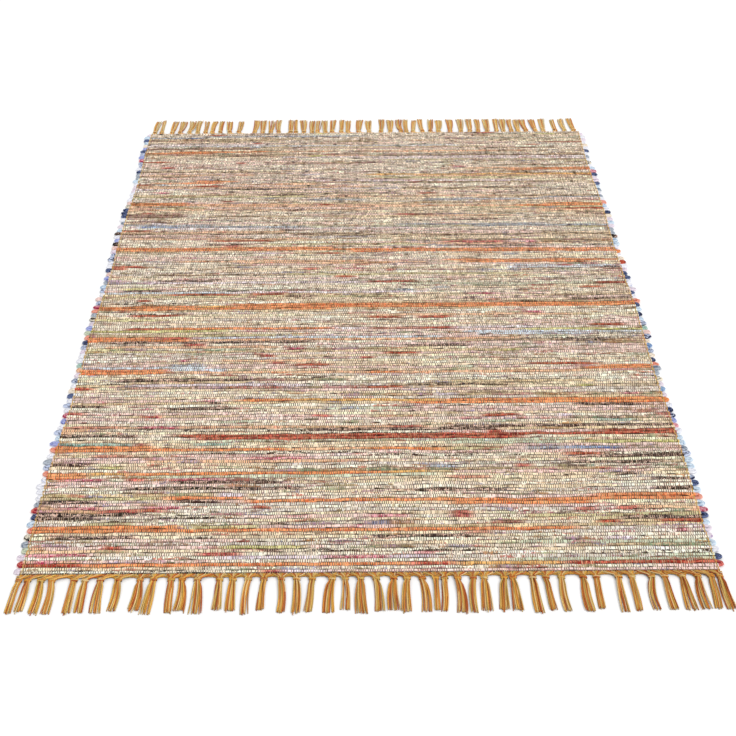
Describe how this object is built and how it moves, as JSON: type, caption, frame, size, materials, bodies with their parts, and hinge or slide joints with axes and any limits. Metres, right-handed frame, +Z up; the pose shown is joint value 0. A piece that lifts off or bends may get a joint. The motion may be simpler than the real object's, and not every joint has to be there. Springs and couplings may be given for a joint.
{
  "type": "rag rug",
  "caption": "Flat woven rag rug with uneven coloured cross stripes, rag turns along both sides and knotted mustard tassels at both ends.",
  "frame": {"origin": "on the floor under the middle of the rug's bounding box", "axes": "+Z up from the floor, +Y along the rug's length from the near fringe to the far one, +X along the rag strips to the right"},
  "size_m": [1.6457, 2.5127, 0.0088],
  "materials": {
    "rag_weave": "matt cotton rags of many colours under mustard warp yarns",
    "warp_yarn": "matt plied cotton yarns in mustard, burnt orange and khaki"
  },
  "bodies": {
    "root": {"woven_cloth": "rag_weave", "near_fringe": "warp_yarn", "far_fringe": "warp_yarn"}
  },
  "joints": []
}
